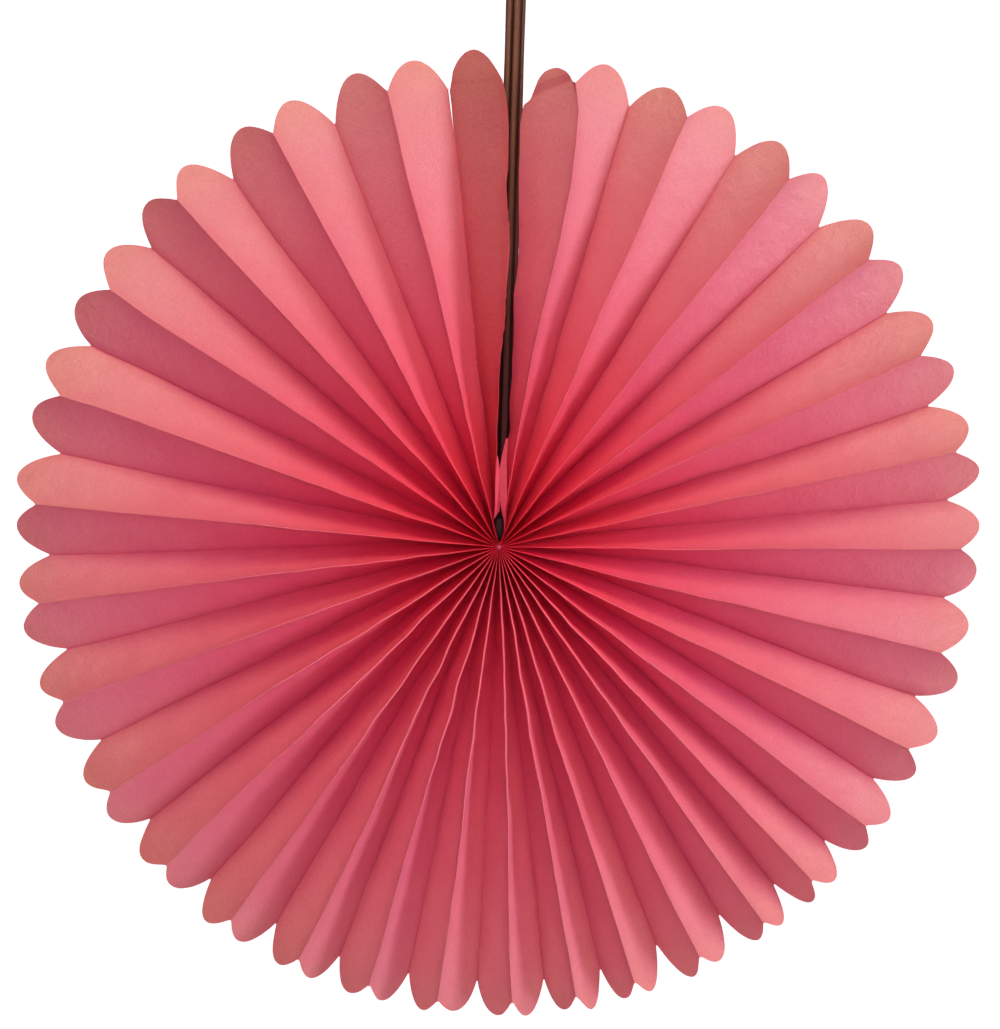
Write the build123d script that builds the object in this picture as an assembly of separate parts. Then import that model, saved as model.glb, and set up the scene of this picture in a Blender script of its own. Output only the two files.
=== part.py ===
from build123d import *
import math
import os

# Hanging tissue-paper fan rosette, 18 in (457 mm) across: one long accordion of
# tissue leaves opened round a full circle about its gathered centre, hung on a
# flat ribbon.
#
# Frame: origin at the hub centre, +Z up along the ribbon, the front faces -Y.
# An azimuth is measured clockwise from the top as seen from the front, so that
# x = r sin(azimuth) and z = r cos(azimuth).  Every hinge turns about the Y axis
# through the hub.  All sizes are in millimetres.

# ---------------------------------------------------------------- dimensions
tip_radius = 228.6          # hub centre to the rounded tip of a leaf
crease_radius = 215.6       # where a fold ends and the rounded tip begins
leaf_width = 33.55          # flat width of one leaf, from fold to fold
leaf_thick = 0.22           # tissue with its glued folds, as a closed solid
leaf_inner_radius = 8.0     # inner end of the leaves, at the binding thread
fold_gap = 0.30             # clearance between two pleats at their shared back fold
ring_radii = [8.0, 42.0, 84.0, 128.0, 172.0, 215.6]   # stations along a leaf
tip_steps = 8               # straight runs round one rounded tip

# Azimuths of the folds in degrees.  Front folds stand towards the viewer, back
# folds away from it; the bottom folds crowd together under the paper's weight.
back_deg = [1.87, 16.58, 31.30, 45.29, 59.28, 72.30, 84.56, 97.04, 110.30,
            122.31, 132.56, 141.29, 149.50, 158.71, 166.68, 174.15, 182.86,
            191.82, 201.04, 210.28, 220.52, 231.54, 243.59, 256.13, 268.43,
            281.52, 295.85, 310.38, 323.91, 338.67, 353.64]
front_deg = [9.04, 23.66, 38.29, 52.20, 65.63, 78.34, 90.34, 103.61, 116.37,
             127.39, 136.91, 144.95, 153.99, 162.78, 170.32, 178.37, 187.67,
             196.47, 205.78, 215.59, 226.15, 237.72, 250.30, 262.88, 275.17,
             288.94, 303.44, 317.17, 331.34, 346.24, 360.72]
bottom_pleat = 15           # index in front_deg of the pleat fixed to the ribbon

# Centre of the rosette
core_radius = 6.0           # leaf ends crushed together and stitched through
core_front_y = -15.0
core_back_y = 17.2
thread_radius = 0.55        # binding thread, wound round the stitched core
thread_turns = 3
knot_radius = 2.6

# Hanging ribbon: one straight flat run from the back of the hub up to its knot
ribbon_width = 9.4
ribbon_thick = 0.5
ribbon_start = Vector(0.40, 18.00, 8.2)
ribbon_end = Vector(8.56, 12.50, 274.0)
ribbon_knot_size = (12.5, 6.0, 8.0)
loop_height = 30.0
loop_half_width = 9.0

# Doubling strips behind the two end leaves, which carry the fan's free edges
strip_rings = ring_radii[1:]
strip_thick = 0.35
strip_clearance = 0.30
strip_side = (0.10, 0.90)   # part of the leaf's width that the strip covers

# Paper tape that closes the circle across the back
tape_radius = 150.0
tape_width = 18.0
tape_thick = 0.25


# ------------------------------------------------------------------- helpers
def ray(deg):
    a = math.radians(deg)
    return Vector(math.sin(a), 0, math.cos(a))


def tangent(deg):
    a = math.radians(deg)
    return Vector(math.cos(a), 0, -math.sin(a))


folds = sorted([(a, +1) for a in back_deg] + [(a, -1) for a in front_deg])


def leaf_depth(k):
    """Front-to-back depth at the rim of leaf k, between folds k and k + 1."""
    half = math.radians(folds[k + 1][0] - folds[k][0]) / 2
    chord = 2 * crease_radius * math.sin(half)
    return math.sqrt(leaf_width ** 2 - chord ** 2)


def rim_y(i):
    """Y of fold i at the rim: the mean of the leaves it joins."""
    near = [leaf_depth(k) for k in (i - 1, i) if 0 <= k < len(folds) - 1]
    return folds[i][1] * sum(near) / len(near) / 2


def fold_point(i, r):
    """A point of fold i at radius r; each fold is one straight line."""
    y0 = folds[i][1] * leaf_width / 2
    return ray(folds[i][0]) * r + Vector(0, y0 + (rim_y(i) - y0) * r / crease_radius, 0)


def tri_faces(points):
    """Triangles of a four-cornered patch, split along its first diagonal."""
    a, b, c, d = points
    out = []
    for t in ((a, b, c), (a, c, d)):
        if (t[1] - t[0]).cross(t[2] - t[0]).length > 1e-7:
            out.append(Face(Wire.make_polygon(t, close=True)))
    return out


def polygon_face(points):
    return Face(Wire.make_polygon(points, close=True))


def solid_of(faces):
    s = Solid(Shell(faces))
    if s.volume < 0:
        s = Solid(Shell([-f for f in faces]))
    return s


def line_meet(p, u, q, v):
    """Where two lines in the plane meet, as the first line's parameter."""
    den = u[0] * v[1] - u[1] * v[0]
    return ((q[0] - p[0]) * v[1] - (q[1] - p[1]) * v[0]) / den


def section(i, r, left, right):
    """Corner points at radius r of the pleat about front fold i.

    left and right say which of its two leaves exist.  The points come in the
    fold's own tangent and depth directions, outer skin first, and are turned
    into space by the caller."""
    m = fold_point(i, r)
    t = tangent(folds[i][0])
    e = ray(folds[i][0])

    def flat(p):
        d = p - m
        return (d.dot(t), d.Y)

    def back(p2, like):
        # keep the radial place of the crease point the corner belongs to
        d = like - m
        return m + t * p2[0] + Vector(0, p2[1], 0) + e * d.dot(e)

    pts = {"m_out": m}
    arms = {}
    for side, on, j in (("l", left, i - 1), ("r", right, i + 1)):
        if not on:
            continue
        v = fold_point(j, r)
        v = v + tangent(folds[j][0]) * (fold_gap / 2 * (1 if side == "l" else -1))
        x, y = flat(v)
        n = math.hypot(x, y)
        inward = (y / n, -x / n) if side == "l" else (-y / n, x / n)
        arms[side] = (x, y, inward, v)
        pts["v_" + side + "_out"] = v
        pts["v_" + side + "_in"] = back(
            (x + inward[0] * leaf_thick, y + inward[1] * leaf_thick), v)
    if left and right:
        (xl, yl, nl, _), (xr, yr, nr, _) = arms["l"], arms["r"]
        p = (xl + nl[0] * leaf_thick, yl + nl[1] * leaf_thick)
        q = (xr + nr[0] * leaf_thick, yr + nr[1] * leaf_thick)
        k = line_meet(p, (-xl, -yl), q, (-xr, -yr))
        inner = (p[0] - xl * k, p[1] - yl * k)
        inner = (inner[0], min(inner[1], 0.82 * min(yl, yr)))
        pts["m_in"] = back(inner, m)
    else:
        side = "l" if left else "r"
        n = arms[side][2]
        pts["m_in"] = back((n[0] * leaf_thick, n[1] * leaf_thick), m)
    return pts


def pleat(i, left=True, right=True):
    """One pleat: the two leaves that meet at front fold i, with rounded tips."""
    secs = [section(i, r, left, right) for r in ring_radii]
    faces = []
    for a, b in zip(secs, secs[1:]):
        for side, on in (("l", left), ("r", right)):
            if not on:
                continue
            o, n = "v_%s_out" % side, "v_%s_in" % side
            faces += tri_faces([a[o], a["m_out"], b["m_out"], b[o]])
            faces += tri_faces([a[n], a["m_in"], b["m_in"], b[n]])
            faces += tri_faces([a[o], a[n], b[n], b[o]])
        if not (left and right):
            faces += tri_faces([a["m_out"], a["m_in"], b["m_in"], b["m_out"]])
    first, last = secs[0], secs[-1]
    for side, on, j in (("l", left, i - 1), ("r", right, i + 1)):
        if not on:
            continue
        o, n = "v_%s_out" % side, "v_%s_in" % side
        faces += tri_faces([first[o], first["m_out"], first["m_in"], first[n]])
        # rounded tip: a flat half-ellipse standing on the leaf's outer edge
        a, b = last[o], last["m_out"]
        mid = (a + b) * 0.5
        az = (folds[i][0] + folds[j][0]) / 2
        apex = ray(az) * tip_radius + Vector(0, mid.Y, 0)
        half, rise = (b - a) * 0.5, apex - mid
        lift_a, lift_b = last[n] - last[o], last["m_in"] - last["m_out"]
        outer, inner = [], []
        for s in range(tip_steps + 1):
            w = math.pi * s / tip_steps
            f = (1 - math.cos(w)) / 2
            p = mid - half * math.cos(w) + rise * math.sin(w)
            if s == 0:
                p = a
            if s == tip_steps:
                p = b
            outer.append(p)
            inner.append(p + lift_a * (1 - f) + lift_b * f)
        inner[0], inner[-1] = last[n], last["m_in"]
        faces.append(polygon_face(outer))
        faces.append(polygon_face(inner))
        for p, q, c, d in zip(outer, outer[1:], inner[1:], inner):
            faces += tri_faces([p, q, c, d])
    return solid_of(faces)


def leaf_line(k, ra, rb, f, off):
    """A point on leaf k, a fraction f along the straight line from fold k at
    radius ra to fold k + 1 at radius rb, lifted by off along the leaf's normal
    (towards increasing azimuth)."""
    a, b = fold_point(k, ra), fold_point(k + 1, rb)
    r = (ra + rb) / 2
    across = fold_point(k + 1, r) - fold_point(k, r)
    n = ray((folds[k][0] + folds[k + 1][0]) / 2).cross(across).normalized()
    if n.dot(tangent(folds[k][0])) < 0:
        n = -n
    return a + (b - a) * f + n * off


def strip_on_leaf(k, side):
    """A thin card strip that follows leaf k on one side of it.  It bends where
    the leaf's own flat triangles meet, so it stays clear of the leaf."""
    lo = side * (leaf_thick + strip_clearance)
    hi = lo + side * strip_thick
    f0, f1 = strip_side
    lines = [(strip_rings[0], strip_rings[0])]
    for ra, rb in zip(strip_rings, strip_rings[1:]):
        lines += [(ra, rb), (rb, rb)]
    rows = [[leaf_line(k, ra, rb, f0, lo), leaf_line(k, ra, rb, f1, lo),
             leaf_line(k, ra, rb, f1, hi), leaf_line(k, ra, rb, f0, hi)]
            for ra, rb in lines]
    faces = []
    for a, b in zip(rows, rows[1:]):
        # both broad skins are split along the same diagonal, so the strip
        # keeps its thickness
        for s, e in ((0, 1), (3, 2), (1, 2), (0, 3)):
            faces += tri_faces([a[s], a[e], b[e], b[s]])
    faces += tri_faces(rows[0]) + tri_faces(rows[-1])
    return solid_of(faces)


# ---------------------------------------------------------------- the pieces
made = {}

# Pleats.  The bottom pleat stays with the ribbon and hub; the others turn about
# the hub, the right-hand ones (r01 to r15) one way and the left-hand ones (l01
# to l15) the other.
index_of_front = [i for i, f in enumerate(folds) if f[1] < 0]
made["pleat_bottom"] = pleat(index_of_front[bottom_pleat])
for n in range(1, bottom_pleat + 1):
    made["pleat_r%02d" % n] = pleat(index_of_front[bottom_pleat - n])
for n in range(1, len(index_of_front) - bottom_pleat):
    last = n == len(index_of_front) - bottom_pleat - 1
    made["pleat_l%02d" % n] = pleat(index_of_front[bottom_pleat + n], right=not last)

# Gathered core: the inner ends of every leaf, crushed and stitched together.
core = Cylinder(core_radius, core_back_y - core_front_y, rotation=(90, 0, 0))
core = core.moved(Location((0, (core_front_y + core_back_y) / 2, 0)))
core = chamfer(core.edges().filter_by(GeomType.CIRCLE), 1.2)
made["gathered_core"] = core.solid()

# Binding thread: turns wound side by side round the core, in the middle of it.
turns = []
for s in range(thread_turns):
    y = (s - (thread_turns - 1) / 2) * (2 * thread_radius + 0.5) * 6.0
    ring = Torus(core_radius + thread_radius, thread_radius, rotation=(90, 0, 0))
    turns.append(ring.solid().moved(Location((0, y, 0))))
made["binding_thread"] = Compound(turns)

# Thread knot at the front of the core, a half ball that sits flat on it.
ball = Sphere(knot_radius) - Box(20, 20, 20).moved(Location((0, 10, 0)))
made["hub_knot"] = ball.solid().moved(Location((0, core_front_y, 0)))

# Ribbon tie: the pad of ribbon stitched to the back of the core, from which the
# straight hanging run leaves.
tie = Box(ribbon_width, 1.6, 13.6).moved(
    Location((0.2, core_back_y + 0.8, 1.2)))
made["ribbon_tie"] = tie.solid()

# Hanging ribbon, one straight run.  It starts on the back of the tie.
run = ribbon_end - ribbon_start
along = run.normalized()
across = Vector(along.Z, 0, -along.X).normalized()
plane = Plane(origin=ribbon_start, x_dir=across, z_dir=along)
ribbon = extrude(plane * Rectangle(ribbon_width, ribbon_thick), run.length)
made["hanging_ribbon"] = ribbon.solid()

# Knot of the ribbon, just above the end of the run, and the loop it closes.
kx, ky, kz = ribbon_knot_size
knot_centre = ribbon_end + along * (kz / 2)
knot_plane = Plane(origin=knot_centre, x_dir=across, z_dir=along)
body = knot_plane.location * Box(kx, ky, kz)
body = fillet(body.edges(), 1.8)
made["ribbon_knot"] = body.solid()

loop_base = ribbon_end + along * kz


def loop_outline(shrink):
    """Teardrop of the loop, seen from the front, its foot on the knot."""
    w = loop_half_width - shrink
    h = loop_height - shrink
    foot = 3.2 - shrink
    with BuildSketch() as sk:
        with BuildLine():
            Line((-foot, 0), (-w, h - w))
            ThreePointArc((-w, h - w), (0, h), (w, h - w))
            Line((w, h - w), (foot, 0))
            Line((foot, 0), (-foot, 0))
        make_face()
    return sk.sketch


loop_face = loop_outline(0.0) - loop_outline(0.8)
loop_plane = Plane(origin=loop_base + plane.y_dir * ribbon_width / 2,
                   x_dir=across, z_dir=-plane.y_dir)
loop = extrude(loop_plane * loop_face, ribbon_width)
loops = loop.solids()
made["ribbon_loop"] = loops[0] if len(loops) == 1 else Compound(loops)

# Stiffening strips behind the two end leaves.
last_leaf = len(folds) - 2
made["end_strip_right"] = strip_on_leaf(0, +1)
made["end_strip_left"] = strip_on_leaf(last_leaf, +1)

# Closing tape across the back, from the last back fold to the free edge.
a_left, a_right = folds[-2][0] - 360.0 - 1.2, folds[0][0] + 1.6


def back_y(i, r):
    return fold_point(i, r).Y


z_low, z_high = tape_radius - tape_width / 2, tape_radius + tape_width / 2
y_touch = max(back_y(len(folds) - 2, z_low), back_y(0, z_low)) + 0.35
ribbon_at = ribbon_start + along * ((tape_radius - ribbon_start.Z) / along.Z)
y_over = ribbon_at.Y + ribbon_thick / 2 + 0.55
x_left = tape_radius * math.sin(math.radians(a_left))
x_right = tape_radius * math.sin(math.radians(a_right))
x_a = ribbon_at.X - ribbon_width / 2 - 2.2
x_b = ribbon_at.X + ribbon_width / 2 + 2.2
x_right = max(x_right, x_b + 5.0)
profile = [(x_left, y_touch), (x_a - 3.0, y_touch), (x_a, y_over), (x_b, y_over),
           (x_b + 3.0, y_touch), (x_right, y_touch)]
top = [(x, y + tape_thick) for x, y in profile]
outline = Face(Wire.make_polygon([Vector(x, y, z_low) for x, y in profile + top[::-1]],
                                 close=True))
made["closing_tape"] = extrude(outline, tape_width, dir=(0, 0, 1)).solid()

# ------------------------------------------------------------------ write out
os.makedirs("parts", exist_ok=True)
for name, shape in made.items():
    export_step(shape, "parts/%s.step" % name)

hang = loop_base + along * (loop_height - 0.8)
print("loop crown inside at", tuple(round(v, 2) for v in hang))
print("ribbon run %.1f mm" % run.length)
print("rim depth top %.1f side %.1f bottom %.1f mm" % (
    leaf_depth(2), leaf_depth(13), leaf_depth(29)))
print("opening of the hinges, right", [
    round(front_deg[bottom_pleat - n + 1] - front_deg[bottom_pleat - n], 2)
    for n in range(1, 16)])
print("opening of the hinges, left", [
    round(front_deg[bottom_pleat + n] - front_deg[bottom_pleat + n - 1], 2)
    for n in range(1, 16)])
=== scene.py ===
import math

import bpy
import numpy as np
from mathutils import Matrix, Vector, noise


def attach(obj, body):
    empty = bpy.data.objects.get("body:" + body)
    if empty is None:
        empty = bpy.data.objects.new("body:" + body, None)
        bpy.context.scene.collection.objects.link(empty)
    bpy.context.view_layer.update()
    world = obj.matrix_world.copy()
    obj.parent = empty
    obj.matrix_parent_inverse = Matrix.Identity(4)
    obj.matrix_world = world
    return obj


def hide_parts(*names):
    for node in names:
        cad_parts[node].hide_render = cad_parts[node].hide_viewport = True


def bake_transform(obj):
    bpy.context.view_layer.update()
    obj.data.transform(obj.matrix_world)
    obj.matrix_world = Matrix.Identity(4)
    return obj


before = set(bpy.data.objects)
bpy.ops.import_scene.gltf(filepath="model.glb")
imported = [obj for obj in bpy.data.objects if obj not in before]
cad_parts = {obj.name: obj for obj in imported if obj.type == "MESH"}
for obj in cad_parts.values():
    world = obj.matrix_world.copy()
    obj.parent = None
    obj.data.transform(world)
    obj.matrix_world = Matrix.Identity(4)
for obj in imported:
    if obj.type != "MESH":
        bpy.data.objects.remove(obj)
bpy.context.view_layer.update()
scene = bpy.context.scene
scene.view_settings.view_transform = "Standard"
scene.view_settings.look = "None"
scene.cycles.diffuse_bounces = 8
scene.cycles.max_bounces = 12
MM = 0.001

# ------------------------------------------------------------------ camera
cam_data = bpy.data.cameras.new("camera")
cam_data.lens = 49.0593
cam_data.sensor_width = 36.0
cam_data.sensor_fit = "AUTO"
cam_data.clip_start = 0.01
cam = bpy.data.objects.new("camera", cam_data)
scene.collection.objects.link(cam)
cam.location = (0.00047274, -0.66107491, 0.04930012)
cam.rotation_euler = (math.radians(86.9568), 0, 0)
scene.camera = cam

# ------------------------------------------------------------------ the fan
# Every fold in order round the fan: V at the back, M at the front, its azimuth
# in degrees clockwise from the top, its radius at the rim and its depth there.
FOLDS = [
    ("V", 1.87, 215.0, 9.78), ("M", 9.04, 215.7, -9.44), ("V", 16.58, 215.4, 9.44), ("M", 23.66, 215.3, -9.44),
    ("V", 31.30, 214.8, 9.44), ("M", 38.29, 215.3, -10.38), ("V", 45.29, 213.5, 10.38), ("M", 52.20, 215.7, -10.38),
    ("V", 59.28, 214.8, 10.97), ("M", 65.63, 213.7, -11.47), ("V", 72.30, 215.5, 11.73), ("M", 78.34, 215.8, -12.16),
    ("V", 84.56, 216.5, 12.40), ("M", 90.34, 214.7, -11.97), ("V", 97.04, 216.0, 11.19), ("M", 103.61, 212.4, -11.19),
    ("V", 110.30, 214.7, 11.73), ("M", 116.37, 213.9, -12.35), ("V", 122.31, 215.5, 13.21), ("M", 127.39, 216.2, -13.71),
    ("V", 132.56, 215.9, 14.20), ("M", 136.91, 214.7, -14.60), ("V", 141.29, 215.2, 15.00), ("M", 144.95, 216.2, -14.87),
    ("V", 149.50, 212.4, 14.48), ("M", 153.99, 215.2, -14.34), ("V", 158.71, 212.7, 14.62), ("M", 162.78, 215.3, -14.99),
    ("V", 166.68, 216.3, 15.22), ("M", 170.32, 215.2, -15.22), ("V", 174.15, 216.5, 14.99), ("M", 178.37, 215.4, -14.62),
    ("V", 182.86, 216.0, 14.34), ("M", 187.67, 216.6, -14.48), ("V", 191.82, 216.9, 14.62), ("M", 196.47, 216.0, -14.34),
    ("V", 201.04, 218.2, 14.34), ("M", 205.78, 216.4, -14.34), ("V", 210.28, 216.7, 14.05), ("M", 215.59, 216.6, -13.73),
    ("V", 220.52, 216.9, 13.56), ("M", 226.15, 216.6, -13.20), ("V", 231.54, 217.1, 12.83), ("M", 237.72, 215.7, -12.40),
    ("V", 243.59, 215.5, 11.97), ("M", 250.30, 216.2, -11.97), ("V", 256.13, 215.1, 11.97), ("M", 262.88, 216.0, -12.19),
    ("V", 268.43, 216.5, 12.19), ("M", 275.17, 216.0, -11.47), ("V", 281.52, 214.2, 10.69), ("M", 288.94, 215.0, -10.09),
    ("V", 295.85, 216.0, 9.78), ("M", 303.44, 215.2, -9.78), ("V", 310.38, 216.8, 10.64), ("M", 317.17, 217.4, -10.95),
    ("V", 323.91, 213.7, 10.09), ("M", 331.34, 216.5, -9.44), ("V", 338.67, 212.7, 9.09), ("M", 346.24, 215.2, -9.09),
    ("V", 353.64, 215.9, 9.63), ("M", 360.72, 215.5, -10.16),
]

# The rounded tip of the leaf between each fold and the next: azimuth, radius.
TIPS = [
    (6.83, 224.1), (12.55, 229.7), (20.01, 227.3), (27.47, 229.3), (35.67, 228.3), (41.66, 229.5),
    (49.88, 228.7), (55.37, 228.8), (63.09, 228.8), (68.84, 229.0), (75.83, 228.5), (81.08, 229.2),
    (87.84, 228.5), (92.83, 227.4), (99.59, 227.0), (106.60, 228.0), (113.60, 227.7), (118.86, 227.8),
    (125.61, 228.2), (129.62, 228.3), (135.12, 228.4), (138.62, 228.3), (143.62, 228.7), (146.62, 227.5),
    (152.12, 227.7), (155.88, 228.4), (161.37, 227.9), (164.38, 228.0), (168.88, 228.5), (171.88, 228.0),
    (177.13, 227.6), (180.13, 228.2), (185.88, 227.4), (189.39, 228.4), (194.89, 228.0), (198.40, 229.1),
    (203.90, 228.7), (207.16, 228.9), (213.68, 229.0), (217.19, 229.0), (224.21, 228.2), (228.48, 228.5),
    (235.50, 228.0), (240.03, 228.5), (247.56, 228.8), (252.33, 228.9), (260.12, 229.1), (264.89, 228.8),
    (272.67, 228.7), (277.96, 229.3), (285.72, 229.1), (291.75, 229.6), (299.51, 228.9), (306.52, 229.4),
    (314.52, 229.4), (320.02, 229.9), (328.25, 228.8), (334.48, 229.0), (343.20, 229.2), (349.42, 230.0),
    (356.88, 231.0),
]

HALF = 16.78
LEAF = 33.55

# Free edges of the two end leaves, x and z in mm.
EDGE_L = [(1.92, 212.43), (2.88, 208.71), (4.07, 199.43), (4.53, 192.48), (4.44, 186.42),
          (4.31, 174.13), (3.62, 169.58), (3.39, 165.47), (4.08, 154.99), (4.86, 147.69),
          (4.91, 137.65), (4.22, 129.89), (3.58, 121.66), (3.07, 113.89), (2.8, 104.29),
          (1.79, 96.5), (1.6, 93.3), (0.92, 91.01), (0.51, 85.97), (-0.05, 78.18),
          (-0.18, 67.64), (-0.51, 60.75), (-1.1, 53.41), (-0.92, 48.82), (-1.15, 39.63),
          (-1.61, 30.9), (-1.7, 17.5), (-2.5, 13.4), (-3.2, 10.2), (-2.8, 7.4), (-1.5, 4.6),
          (-0.23, 2.4), (0.0, 0.0)]
EDGE_R = [(11.94, 207.61), (11.0, 204.38), (9.92, 197.44), (9.79, 190.95), (9.61, 183.06),
          (9.29, 175.16), (9.35, 166.76), (9.31, 158.82), (9.37, 148.99), (9.33, 141.01),
          (8.91, 133.02), (7.97, 124.53), (7.02, 119.34), (6.88, 113.67), (6.98, 106.57),
          (6.85, 95.65), (6.28, 87.56), (6.19, 79.46), (5.33, 70.86), (4.95, 65.59),
          (5.1, 61.28), (5.3, 54.08), (4.72, 51.2), (3.61, 48.79), (2.17, 43.98),
          (1.4, 39.16), (1.2, 29.99), (1.31, 17.89), (1.5, 5.76), (0.0, 0.0)]
TIP_L = [(-23.01, 9.63, 213.1), (-22.56, 7.98, 217.89), (-21.94, 6.33, 221.72),
         (-20.43, 4.68, 225.02), (-17.53, 3.03, 228.58), (-14.64, 1.38, 230.33),
         (-11.73, -0.26, 230.47), (-8.42, -1.91, 229.25), (-5.08, -3.56, 225.89),
         (-2.3, -5.21, 221.5), (0.09, -6.86, 217.36), (1.47, -8.51, 214.41),
         (1.92, -10.16, 212.41)]
TIP_R = [(11.84, 9.78, 207.42), (14.49, 8.03, 208.68), (15.62, 6.29, 210.85),
         (17.26, 4.54, 215.13), (19.12, 2.79, 218.46), (21.9, 1.04, 221.04),
         (25.64, -0.7, 222.0), (28.4, -2.45, 221.36), (30.91, -4.2, 219.45),
         (32.72, -5.95, 216.92), (33.83, -7.69, 213.94), (34.2, -9.44, 212.95)]
# The first front fold bows to the right: radius, offset in mm.
BOW_1 = [(0, 0), (3, 0.6), (6, 1.5), (10, 1.2), (15, 0.4), (30, 0.1), (60, 0.3), (90, 1.4), (115, 3.2), (140, 5.3), (162, 6.2), (170, 6.6),
         (189, 5.8), (203, 4.7), (210, 2.8), (216, 1.0)]
LAST = len(FOLDS) - 2
Q0 = 0.006


def smooth(x, a, b):
    t = np.clip((x - a) / (b - a), 0, 1)
    return t * t * (3 - 2 * t)


def n1(x, y, z):
    return noise.noise(Vector((x, y, z)))


def body_of_front(j):
    n = (31 - j) // 2
    return "root" if n == 0 else ("fold_r%02d" % n if n > 0 else "fold_l%02d" % -n)


def node_of_front(j):
    n = (31 - j) // 2
    return "pleat_bottom" if n == 0 else ("pleat_r%02d" % n if n > 0 else "pleat_l%02d" % -n)


def wobble(i, rho):
    """Sideways waver of fold i, in mm, the same for both leaves that meet there."""
    low = math.exp(-((((FOLDS[i][1] - 195) % 360 + 180) % 360 - 180) / 80.0) ** 2)
    fine = n1(rho / 16.0, i * 3.7, 1.5) * 0.55 + n1(rho / 7.5, i * 5.1, 9.5) * 0.22
    wide = n1(rho / 62.0, i * 2.3, 4.5) * 1.1
    fade = float(smooth(rho, 6, 45) * (1 - smooth(rho, 190, 214)))
    inner = float(1 - 0.65 * smooth(rho, 90, 150))
    return fade * (fine * inner * (0.75 + 0.7 * low) + wide)


def fold_line(i, q):
    """Points of fold i, in mm, at each q from 0 at the hub to 1 at the rim."""
    kind, az, r, y = FOLDS[i]
    s = -1 if kind == "M" else 1
    q = np.asarray(q, float)
    if i == 0 or i == LAST + 1:
        pts = np.array((EDGE_R if i == 0 else EDGE_L)[::-1])
        rho = np.hypot(pts[:, 0], pts[:, 1])
        rr = q * rho[-1]
        x, z = np.interp(rr, rho, pts[:, 0]), np.interp(rr, rho, pts[:, 1])
        if i == LAST + 1:
            teeth = smooth(rr, 78, 92) * (1 - smooth(rr, 150, 165))
            x = x + teeth * 0.28 * (np.abs((rr / 1.9) % 1 - 0.5) * 4 - 1)
        return np.stack([x, s * HALF + (y - s * HALF) * q, z], 1)
    a = math.radians(az)
    rho = q * r
    lat = np.array([wobble(i, v) for v in rho])
    if i == 1:
        lat = lat * 0.4 + np.interp(rho, [b[0] for b in BOW_1], [b[1] for b in BOW_1])
    return np.stack([rho * math.sin(a) + lat * math.cos(a), s * HALF + (y - s * HALF) * q,
                     rho * math.cos(a) - lat * math.sin(a)], 1)


def phi(u, power):
    """Sideways share of a leaf's width at u.  The leaf drops steeply back from
    its front fold, turns across, and drops steeply again into its back fold."""
    t = u ** power
    return 0.36 * u ** (0.5 + 0.5 * power) + 0.64 * t * t * (3 - 2 * t)


RIDGE, CREASE = 1.05, 0.5


def lower(i):
    """1 for folds at the bottom of the fan, falling to 0 at the top."""
    return math.exp(-((((FOLDS[i][1] - 190) % 360 + 180) % 360 - 180) / 78.0) ** 4)


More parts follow.
